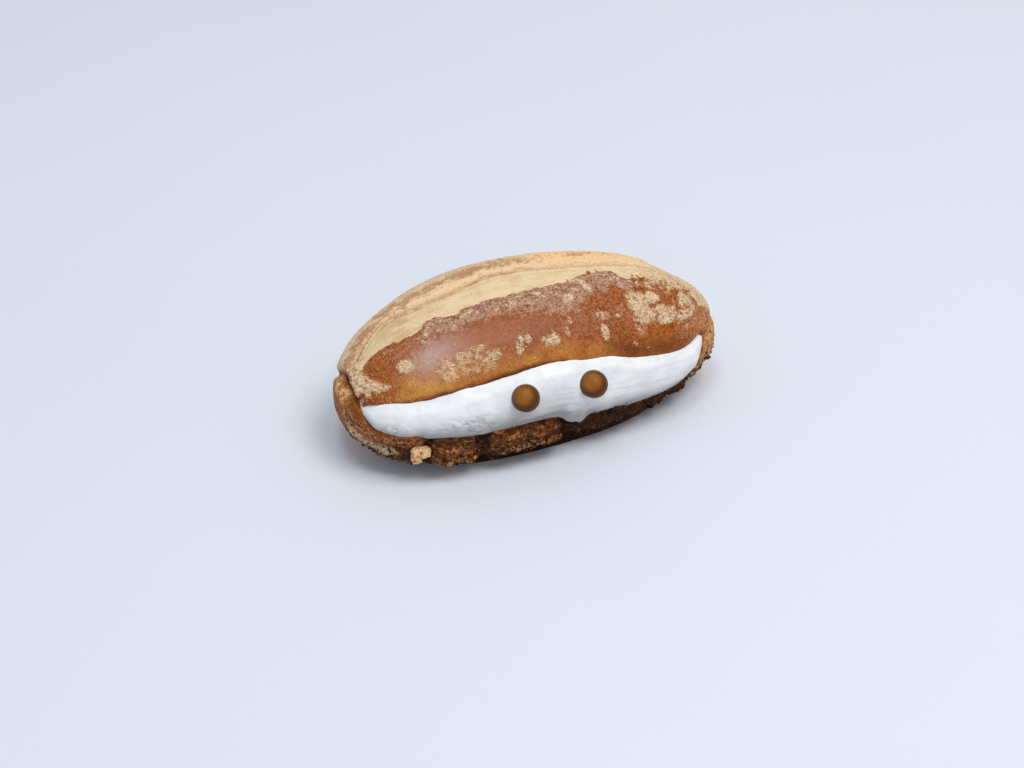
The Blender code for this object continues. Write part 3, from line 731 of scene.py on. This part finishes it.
def crustFinish():
    f = Finish("baked_crust")
    on = SimpleNamespace(**{name: f.map(name) for name in fields})
    colours = {name: screen(*tone) for name, tone in crustLook["tones"].items()}
    tiny, small, medium = f.grain(0.6, 3), f.grain(1.4, 4), f.grain(4.5, 4)
    fibre, streak = f.grain(1, 4, 0.6, (0.35, 1, 1)), f.grain(2, 3, 0.55, (0.2, 1, 1))
    fleck = f.grain(0.62, 1) + (f.grain(1.7, 2) - 0.5) * 0.7

    def laid(tone, **layers):  # named colours laid one over the other, each with its share
        for name, share in layers.items():
            tone = f.mix(tone, colours[name], share)
        return tone

    tone = laid(
        colours["rosy"],
        orange=f.between(0.2, 0.8, on.warm + (medium - 0.5) * 0.8),
        amber=on.amber * f.between(0.2, 0.66, medium * 0.7 + small * 0.3),
        mauve=f.between(0.35, 0.65, on.haze + (small - 0.5) * 1.1 + (tiny - 0.5) * 0.5) * 0.8,
        # toasted brown, with painted shade under and along the lip's edge
        toast=on.toast * 0.8 + f.between(0.54, 0.76, small) * 0.35,
        # painted reflection: the pale lilac sheen
        pearl=on.pearl * 0.75,
    )
    stipple = (1 - on.calm * 0.85) * (1 - on.toast * 0.6) * (1 - on.pearl * 0.7) * (1 - on.amber * 0.5)
    speckled = 0.46 + on.haze * (0.26 - on.grit * 0.4) + on.grit * 0.2
    tone = laid(
        tone,
        toast=f.between(0.48, 0.34, fleck) * stipple * speckled,
        powderTan=f.between(0.52, 0.64, fleck) * (0.22 + on.haze * 0.55 + on.grit * 0.08) * stipple,
    )
    back = laid(
        colours["backTan"],
        # peach tone, made brighter as painted light
        backPeach=on.peach,
        backBrown=f.between(0.2, 0.95, on.brown + (small - 0.5) * 1.6 + (tiny - 0.5) * 1.4) * 0.8,
        crack=f.between(0.53, 0.66, tiny * 0.5 + small * 0.5) * 0.5,
    )

    gold = on.crag * 0.7 + fibre - 0.5 + (tiny - 0.5) * 0.9 + (small - 0.5) * 0.6 + on.lump * 0.28
    # painted shade: the rim goes to rimDark in its hollows, between its lumps and low down towards the floor,
    # with grain mixed in
    bright = on.crag * 0.9 + (fibre - 0.5) * 0.8 + (tiny - 0.5) * 0.7 + on.lump * 0.54 - on.low * 0.46 - 0.17
    rim = laid(colours["rimBrown"], rimGold=f.between(0.5, 1, gold))
    rim = f.mix(colours["rimDark"], rim, f.between(0.25, 0.72, bright))
    rim = laid(rim, rimSoft=on.soft * f.between(0.2, 0.8, small) * 0.9)
    plain = laid(
        colours["endBrown"],
        endRed=f.between(0.42, 0.6, medium * 0.5 + small * 0.5),
        endTan=f.between(0.52, 0.62, fleck) * 0.85,
        rimDark=f.between(0.42, 0.3, fleck) * 0.6,
        backBase=on.rear * f.between(0.25, 0.7, medium * 0.6 + small * 0.4),
    )
    rim = laid(
        f.mix(plain, rim, on.torn),
        shelf=on.shelf * f.between(0.2, 0.5, medium),
        endPale=on.pale * f.between(0.36, 0.6, small * 0.6 + tiny * 0.4),
    )
    tone = laid(f.mix(f.mix(tone, back, on.back), rim, on.base), cavity=on.cavity)

    pale = laid(
        colours["bandPale"],
        bandTan=f.between(0.44, 0.66, tiny * 0.25 + medium * 0.35 + streak * 0.4),
        bandAged=on.aged * f.between(0.36, 0.6, streak * 0.6 + small * 0.4),
    )
    tone = f.mix(tone, pale, f.between(0.38, 0.62, on.band + (small - 0.5) * 0.8 + (tiny - 0.5) * 0.5))
    tone = laid(tone, crack=on.crack * f.between(0.3, 0.6, small + 0.1) * 0.9)

    # Powder tints the crust softly, and shows as grains where there is little of it.
    powdery = laid(colours["powderTan"], powderPale=f.between(0.35, 0.62, tiny * 0.5 + small * 0.5))
    veil = f.between(0.15, 0.95, on.dust + (small - 0.5) * 0.8)
    grains = f.speckle(0.46, on.dust * 0.74, 0.12) * f.between(0.03, 0.16, on.dust)
    tone = laid(
        f.mix(tone, powdery, veil * 0.66),
        powderPale=grains * (0.8 - veil * 0.1),
        crack=f.between(0.42, 0.3, fleck) * f.between(0.4, 0.9, on.dust) * 0.75,
    )

    dry = f.between(0.1, 0.9, on.band + on.dust * 1.1 + on.back * 0.6 + on.base * 0.6 + on.haze * 0.35)
    relief = grains * 0.5 + tiny * (0.2 + dry * 0.5) + small * (0.2 + on.torn * 0.8) + fibre * on.torn * 0.8
    skinRough, dryRough = crustLook["skinRoughness"], crustLook["dryRoughness"]
    return f.surface({
        "Base Color": tone,
        "Roughness": skinRough + dry * (dryRough - skinRough) + grains * 0.15,
        "Specular IOR Level": crustLook["shine"],
        "Coat Weight": (on.glossy * 0.9 + 0.1) * (1 - dry) * crustLook["skinCoat"],
        "Coat Roughness": 0.3,
        "Normal": f.bump(relief, 0.35, 0.7),
    })


skin = makeCrust()
fields = paintFields(skin)
lumpy = 1 + powder["lumpiness"] * rough(skin["points"], 1.1, 2, 9)
lumpy *= 1 + 0.9 * bell(skin["points"][..., 0] + 63, 6)
skin["points"] += skin["normal"] * (fields["dust"] * powder["thickness"] * lumpy)[..., None]
crustMesh = closedSkin("crust", skin["points"])
for name, values in fields.items():
    giveAttribute(crustMesh, name, withTips(values))
print("crust formed:", len(crustMesh.polygons), "faces")
crustPiece = placed("crust", crustMesh, crustFinish())
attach(crustPiece, "root")
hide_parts("bun")

balls = {
    "radius": 5,
    "centres": {"chocolate_ball_left": (-10.4, -30.4, 33.8), "chocolate_ball_right": (15.6, -29.5, 32.2)},
    "uneven": 0.05,
    "rounds": 6,
    "paintedLitSide": (-0.42, -0.43, 0.8),  # the side painted lighter, as painted light; painted shade grows away from it
    "paintedShadeFullAt": 0.48,
    "brown": screen(142, 86, 28),
    "light": screen(162, 104, 42),
    # painted shade: the dark brown the balls turn to away from the painted light
    "dark": screen(94, 47, 2),
}

# The whipped cream: a closed body that fills the mouth, tucked under the lip and swelling out below it.

cream = {
    "stations": 420,
    "faceRows": 130,
    "wallRows": 6,
    "lipTuck": 4.2,
    "rimTuck": 1.3,
    "swell": 2.3,
    "roundness": 2.6,
    "endSwell": 0.6,
    "endTuck": 3.4,
    "overRim": 0.35,  # how far its foot settles over the rim
    "overRimFrom": (-56, -44),
    "overRimTo": (50, 62),
    "spillX": 8.6,
    "spillHalfWidth": 4.8,
    "spillDrop": 2.4,
    "waves": ((16, 0.55), (6, 0.2)),  # feature size, height
    "strokes": ((7, 20, -0.35, 0.5, 1), (38, 22, 0.1, 0.6, 0.5)),  # where the knife drew it smooth
    "strokesEverywhere": 0.16,
    "strokeDepth": 0.42,
    "pits": ((-31, 10, -0.35, 0.42, 1), (-56, 9, -0.4, 0.4, 0.7)),
    "pitDepth": 0.5,
    "beadHeight": 0.4,
    "beadWidth": 0.55,
    "pocketGap": 0.05,
    "white": screen(240, 240, 240),
    "grey": screen(230, 231, 233),
    "paintedFootShade": screen(164, 162, 159),
}


def creamGrid():
    share = np.linspace(0, 1, round(cream["stations"] * fine) + 1)[1:-1]
    middle, reach = (mouth["left"] + mouth["right"]) / 2, (mouth["right"] - mouth["left"]) / 2
    x = middle + reach * mixed(2 * share - 1, -np.cos(np.pi * share), 0.5)
    face = np.cos(np.linspace(0, np.pi, round(cream["faceRows"] * fine)))
    wall = np.linspace(0, 1, cream["wallRows"] + 1)[:-1]
    up = np.concatenate([np.ones(len(wall)), face, -np.ones(len(wall))])
    out = np.concatenate([wall, np.ones(len(face)), wall[::-1]])
    return x[:, None], up[None, :], out[None, :]


def creamFace(x, z, up, spread):
    share = mouthShare(x)
    rimTuck = mixed(cream["rimTuck"], 1, spread)
    tuck = mixed(cream["rimTuck"], cream["lipTuck"], share) * ramp(0.45, 1, up) + rimTuck * ramp(0.45, 1, -up)
    swell = mixed(cream["endSwell"], cream["swell"], share) * (1 - np.abs(up) ** cream["roundness"])
    return frontY(x, z) + tuck - swell + cream["endTuck"] * (1 - ramp(0.1, 0.75, share))


def creamRelief(points, x, up):
    relief = sum(height * rough(points, size, 2, 40) for size, height in cream["waves"])
    slanted = points[..., 2] + 0.12 * points[..., 0]
    drawn = np.stack([0.13 * points[..., 0], 0.4 * points[..., 1], slanted], axis=-1)
    stroked = np.clip(cream["strokesEverywhere"] + spots(cream["strokes"], x, up), 0, 1)
    relief += cream["strokeDepth"] * rough(drawn, 2.6, 3, 12) * stroked
    pits = rough(points * (0.8, 1, 1), 2.3, 3, 30)
    pitted = cream["pitDepth"] * spots(cream["pits"], x, up)
    relief += pitted * (ramp(0.15, 0.5, pits) - 1.2 * ramp(0.1, 0.5, -pits))
    return relief + 0.05 * rough(points, 1, 3, 50)


def ballBeads(points):  # the low ring of cream pressed up round each ball
    away = [np.linalg.norm(points - np.array(centre), axis=2) for centre in balls["centres"].values()]
    return sum(cream["beadHeight"] * bell(far - balls["radius"] - 0.2, cream["beadWidth"]) for far in away)


def makePockets(points):  # hollows behind the balls, so that they press into the cream
    radius = balls["radius"] + cream["pocketGap"]
    for centre in balls["centres"].values():
        away = np.hypot(points[..., 0] - centre[0], points[..., 2] - centre[2])
        behind = centre[1] + np.sqrt(np.maximum(0, radius**2 - away**2))
        inside = (away < radius) & (points[..., 1] < behind) & (points[..., 1] > centre[1] - 3)
        points[..., 1] = np.where(inside, behind, points[..., 1])
    return points


def makeCream():  # its points, and how much painted shade each of them gets towards its foot
    x, up, out = creamGrid()
    share, height, middle = mouthShare(x), mouthHalf(x), lineThrough(mouth["middle"], x)
    innerY, innerZ, innerHalf = mouthBottom(x)
    z = mixed(innerZ, middle, out) + mixed(innerHalf, height, out) * up
    spread = window(x, cream["overRimFrom"], cream["overRimTo"])
    wander = 1.2 * rough(np.outer(x, (1, 0, 0)), 3, 2)[:, None]
    spill = np.exp(-((np.abs(x - cream["spillX"]) / cream["spillHalfWidth"]) ** 4)) * (1 + 0.25 * wander)
    below = ramp(0.2, 1, -up)
    drop = cream["spillDrop"] * spill + cream["overRim"] * spread * (1 + 0.3 * wander)
    bulge = 0.4 * cream["spillDrop"] * spill * below * out
    y = mixed(innerY, creamFace(x, z, up, spread), out) - bulge
    points = np.stack([np.broadcast_to(x, z.shape), y, z - drop * below * ramp(0.6, 1, out)], axis=2)
    normal = np.cross(np.gradient(points, axis=1), np.gradient(points, axis=0))
    normal /= np.maximum(np.linalg.norm(normal, axis=2, keepdims=True), 1e-9)
    face = (out > 0.99) * ramp(0.05, 0.5, share) * ramp(1, 0.86, np.abs(up))
    points += normal * ((creamRelief(points, x, up) + ballBeads(points)) * face)[..., None]
    # painted shade: greyer towards the cream's foot, and more so low down below the balls near x 2
    foot = mixed(ramp(-0.2, -0.95, up), ramp(0.36, -0.8, up), ramp(4, -16, x))
    foot += 0.4 * bell(x - 2, 8) * ramp(0.4, -0.2, up)
    return makePockets(points), foot


creamPoints, creamPaintedShade = makeCream()
creamMesh = closedSkin("cream", creamPoints)
giveAttribute(creamMesh, "foot", withTips(creamPaintedShade))
print("cream formed:", len(creamMesh.polygons), "faces")


def creamFinish():
    f = Finish("whipped_cream")
    fluff = f.grain(0.35, 3) * 0.4 + f.grain(1.6, 4) * 0.6
    tone = f.mix(cream["white"], cream["grey"], f.between(0.35, 0.7, f.grain(5, 4)))
    # painted shade on the cream's foot, from the foot map
    tone = f.mix(tone, cream["paintedFootShade"], f.map("foot") * (0.7 + 0.6 * f.grain(6, 2)))
    return f.surface({
        "Base Color": tone,
        "Roughness": f.between(0.3, 0.7, f.grain(3, 3)) * 0.16 + 0.42,
        "Subsurface Weight": 0.25,
        "Subsurface Radius": (0.8 * mm, 0.75 * mm, 0.7 * mm),
        "Subsurface Scale": 1,
        "Normal": f.bump(fluff, 0.12, 0.6),
    })


creamPiece = placed("whipped_cream", creamMesh, creamFinish())
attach(creamPiece, "root")
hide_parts("cream")


def makeBall(name, centre):
    bm = bmesh.new()
    bmesh.ops.create_icosphere(bm, subdivisions=balls["rounds"] - 0, radius=1)
    paintedLitSide = []
    for vert in bm.verts:
        vert.co *= balls["radius"] + balls["uneven"] * noise.noise(vert.co * 1.7 + Vector(centre))
        paintedLitSide.append(vert.co @ Vector(balls["paintedLitSide"]) / balls["radius"])
        vert.co = (vert.co + Vector(centre) + Vector((0, roll["placeY"], 0))) * mm
    mesh = bpy.data.meshes.new(name)
    bm.to_mesh(mesh)
    bm.free()
    # painted light and shade: none on the painted lit side, full painted shade where the ball turns away from
    # it
    giveAttribute(mesh, "edge", ramp(1, balls["paintedShadeFullAt"], np.array(paintedLitSide)))
    return mesh


def chocolateFinish():
    f = Finish("milk_chocolate")
    cloud = f.grain(3.2, 4) * 0.6 + f.grain(0.8, 3) * 0.4
    tone = f.mix(balls["brown"], balls["light"], f.between(0.35, 0.68, cloud))
    # painted shade: the edge map darkens the side away from the painted light
    tone = f.mix(tone, balls["dark"], f.map("edge"))
    return f.surface({
        "Base Color": tone,
        "Roughness": f.between(0.3, 0.7, f.grain(1.4, 3)) * 0.12 + 0.36,
        "Specular IOR Level": 0.15,
        "Normal": f.bump(cloud, 0.06, 0.5),
    })


chocolate = chocolateFinish()
for name, centre in balls["centres"].items():
    ball = placed(name.replace("chocolate_ball", "ball"), makeBall(name, centre), chocolate)
    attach(ball, "root")
    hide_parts(name)
print("chocolate balls formed")

# Loose bits: grains of powder, crumbs on the torn rim and one broken chunk, as meshes at true size.

bits = {
    "powder_grains": {"count": 15000, "radius": (0.08, 0.21), "rounds": 0, "uneven": 0.15, "sink": 0.5},
    "rim_crumbs": {"count": 1300, "radius": (0.2, 0.62), "rounds": 2, "uneven": 0.22, "sink": 0.9},
    "rim_clods": {"count": 60, "radius": (0.5, 1), "rounds": 3, "uneven": 0.22, "sink": 0.9},
    "crumbPale": screen(196, 146, 92),
    "grainPale": screen(240, 224, 198),
}

chunk = {
    "place": (-49, 15.2),
    # its two blocks: how far from its place, half sizes, tilt
    "blocks": (((0.4, 0, 0.4), (3.2, 2.2, 2.3), 6), ((-1.7, 0.5, -3), (1.7, 1.6, 1.9), -8)),
    "sink": 0.7,
    "roundness": 0.45,
    "crumbliness": 0.45,
    "cuts": 15,
    "tan": screen(176, 118, 70),
    "pale": screen(248, 204, 144),
    "bright": screen(255, 230, 182),
}


def solidShape(rounds):  # corners and faces of a unit ball of triangles
    bm = bmesh.new()
    if rounds == 0:
        for corner in ((1, 0, 0), (-1, 0, 0), (0, 1, 0), (0, -1, 0), (0, 0, 1), (0, 0, -1)):
            bm.verts.new(corner)
        bmesh.ops.convex_hull(bm, input=bm.verts)
    else:
        bmesh.ops.create_icosphere(bm, subdivisions=rounds, radius=1)
    bm.verts.index_update()
    corners = np.array([vert.co for vert in bm.verts])
    faces = np.array([[vert.index for vert in face.verts] for face in bm.faces])
    bm.free()
    return corners, faces


def spotsOn(weights, count, draw):  # random places on the crust, closer together where the weight is high
    points = skin["points"]
    sides = points[1:, :-1] - points[:-1, :-1], points[:-1, 1:] - points[:-1, :-1]
    area = np.linalg.norm(np.cross(*sides), axis=2) * weights[:-1, :-1]
    chance = np.cumsum(area.ravel()) / area.sum()
    cell = np.unravel_index(np.searchsorted(chance, draw.random(count)), area.shape)
    a, b = draw.random((2, count, 1))
    return points[cell] + a * sides[0][cell] + b * sides[1][cell], cell


def scattered(name, place, normal, radius, shade, draw):
    # One mesh of many small bodies, each turned and squashed at random and sunk a little into the surface.
    kind, count = bits[name], len(place)
    corners, faces = solidShape(kind["rounds"])
    turn = np.array([Quaternion(four).normalized().to_matrix() for four in draw.normal(size=(count, 4))])
    shape = corners[None] * draw.uniform(0.6, 1.25, (count, 1, 3))
    shape *= 1 + kind["uneven"] * draw.uniform(-1, 1, (count, len(corners), 1))
    body = np.einsum("nij,nkj->nki", turn, shape) * radius[:, None, None]
    body += (place + normal * (radius * (1 - kind["sink"]))[:, None])[:, None]
    body[..., 1] += roll["placeY"]
    body[..., 2] = np.maximum(body[..., 2], 0.02)
    index = (faces[None] + len(corners) * np.arange(count)[:, None, None]).reshape(-1, 3)
    mesh = bpy.data.meshes.new(name)
    mesh.from_pydata(body.reshape(-1, 3) * mm, [], index.tolist())
    giveAttribute(mesh, "shade", np.repeat(shade, len(corners)))
    print(name, "formed:", len(index), "faces")
    return mesh


def looseFinish(name, dark, middle, pale, roughness):
    f = Finish(name)
    tones = [screen(*crustLook["tones"][tone]) for tone in (dark, middle)]
    shade = f.map("shade") + (f.grain(0.5, 3) - 0.5) * 0.5
    tone = f.mix(f.mix(*tones, f.between(0, 0.5, shade)), pale, f.between(0.5, 1, shade))
    return f.surface({
        "Base Color": tone,
        "Roughness": f.between(0.3, 0.7, f.grain(0.4, 2)) * 0.1 + roughness,
        "Specular IOR Level": 0.1,
        "Normal": f.bump(f.grain(0.25, 3), 0.08, 0.6),
    })


def addBits():
    draw = np.random.default_rng(7)
    x, y, z = np.moveaxis(skin["points"], -1, 0)
    dusty = np.clip(fields["dust"] - 0.06, 0, 1) ** 1.8 * (1 - 0.75 * fields["back"]) + 0.05 * fields["band"]
    belowRim = fields["base"] * ramp(2, 4, skin["down"])
    torn = belowRim * fields["torn"] * ramp(1.2, 5, z) * ramp(0.3, 0.7, fields["crag"] + 0.2)
    ends = 0.12 * belowRim * ramp(46, 56, np.abs(x)) * (y < 0) * ramp(1, 4, z) * ramp(-64, -50, x)
    # crumbs low down take the base's painted shade towards the floor
    crumbShade = 0.55 * fields["crag"] - 0.7 * fields["low"] - 0.03
    powderLook = looseFinish("powder", "powderTan", "powderPale", bits["grainPale"], 0.85)
    crumbLook = looseFinish("toasted_crumb", "rimDark", "rimBrown", bits["crumbPale"], 0.8)
    for name, weight, shades, drawn, finish in (
        ("powder_grains", dusty * ramp(2, 5, z), z * 0, 1, powderLook),
        ("rim_crumbs", torn + ends, crumbShade, 0.45, crumbLook),
        ("rim_clods", torn, crumbShade, 0.45, crumbLook),
    ):
        place, cell = spotsOn(weight, round(bits[name]["count"] * (1)), draw)
        radius = mixed(*bits[name]["radius"], draw.random(len(place)) ** 2)
        shade = np.clip(shades[cell] + drawn * draw.random(len(place)), 0, 1)
        mesh = scattered(name, place, skin["normal"][cell], radius, shade, draw)
        yield placed(name, mesh, finish)


def makeChunk():  # one broken piece of pale crust, baked on to the rim
    x, z = chunk["place"]
    centre = Vector((x, frontY(x, z) + chunk["sink"] + roll["placeY"], z))
    bm = bmesh.new()
    for offset, half, tilt in chunk["blocks"]:
        block = bmesh.ops.create_cube(bm, size=2)["verts"]
        edges = list({edge for vert in block for edge in vert.link_edges})
        bmesh.ops.subdivide_edges(bm, edges=edges, cuts=chunk["cuts"], use_grid_fill=True)
        turn = Matrix.Rotation(math.radians(tilt), 3, "Y")
        for vert in [vert for vert in bm.verts if not vert.tag]:
            rounded = vert.co.lerp(vert.co.normalized() * 1.25, chunk["roundness"])
            at = Vector([value * size for value, size in zip(rounded, half)])
            crumbly = noise.fractal(at / 2 + Vector(offset), 0.8, 2.1, 4)
            at += at.normalized() * (chunk["crumbliness"] * crumbly)
            vert.co = (centre + Vector(offset) + turn @ at) * mm
            vert.tag = True
    mesh = bpy.data.meshes.new("crust_chunk")
    bm.to_mesh(mesh)
    bm.free()
    return mesh


def chunkFinish():
    f = Finish("pale_crust")
    small, medium = f.grain(0.9, 4), f.grain(2.4, 4)
    tone = f.mix(chunk["tan"], chunk["pale"], f.between(0.38, 0.55, medium * 0.6 + small * 0.4))
    tone = f.mix(tone, chunk["bright"], f.between(0.54, 0.66, small))
    return f.surface({
        "Base Color": tone,
        "Roughness": f.between(0.3, 0.7, small) * 0.1 + 0.8,
        "Specular IOR Level": 0.1,
        "Normal": f.bump(small + medium, 0.5, 0.8),
    })


chunkPiece = placed("crust_chunk", makeChunk(), chunkFinish())
for piece in [chunkPiece, *addBits()]:
    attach(piece, "root")

studio = {
    "cameraPlace": (-0.1855, -0.5912, 0.54905),
    "cameraTarget": (-0.0014, 0.0165, 0),
    "cameraRoll": -1.7,
    "lens": 77.22,
    "sensorWidth": 36,
    "floorSize": 6,
    "floorColour": screen(226, 229, 238),
    "floorShade": screen(222, 225, 234),
    "lightTarget": (0, 0, 0.03),
    "keyPlace": (0.42, -0.45, 1.4),
    "keySize": 0.7,
    "keyPower": 10.5,
    "keyColour": (1, 0.97, 0.93),
    "windowPlace": (-0.16, -0.22, 1.45),
    "windowSize": 0.42,
    "windowPower": 4.7,
    "windowColour": (0.7, 0.86, 1),
    "skyColour": (0.93, 0.96, 1, 1),
    "skyStrength": 0.5,
}


def aimed(obj, place, target, rollAngle=0):
    turn = (Vector(target) - Vector(place)).to_track_quat("-Z", "Y").to_matrix().to_4x4()
    obj.matrix_world = Matrix.Translation(place) @ turn @ Matrix.Rotation(math.radians(rollAngle), 4, "Z")
    bpy.context.scene.collection.objects.link(obj)


camera = bpy.data.cameras.new("camera")
camera.lens, camera.sensor_width = studio["lens"], studio["sensorWidth"]
cameraObject = bpy.data.objects.new("camera", camera)
aimed(cameraObject, studio["cameraPlace"], studio["cameraTarget"], studio["cameraRoll"])
bpy.context.scene.camera = cameraObject

for name in ("key", "window"):
    light = bpy.data.lights.new(name, "AREA")
    light.shape, light.size = "DISK", studio[name + "Size"]
    light.energy, light.color = studio[name + "Power"], studio[name + "Colour"]
    aimed(bpy.data.objects.new(name, light), studio[name + "Place"], studio["lightTarget"])

world = bpy.data.worlds.new("studio")
world.use_nodes = True
world.node_tree.nodes["Background"].inputs["Color"].default_value = studio["skyColour"]
world.node_tree.nodes["Background"].inputs["Strength"].default_value = studio["skyStrength"]
bpy.context.scene.world = world
bpy.context.scene.view_settings.view_transform = "Standard"

floorMesh = bpy.data.meshes.new("floor")
floorCorners = np.array(((-1, -1, 0), (1, -1, 0), (1, 1, 0), (-1, 1, 0))) * studio["floorSize"] / 2
floorMesh.from_pydata(floorCorners.tolist(), [], [(0, 1, 2, 3)])


def floorFinish():
    f = Finish("pale_floor")
    tone = f.mix(studio["floorColour"], studio["floorShade"], f.grain(180, 2))
    return f.surface({"Base Color": tone, "Roughness": 0.7})


floor = placed("floor", floorMesh, floorFinish())

print("done")
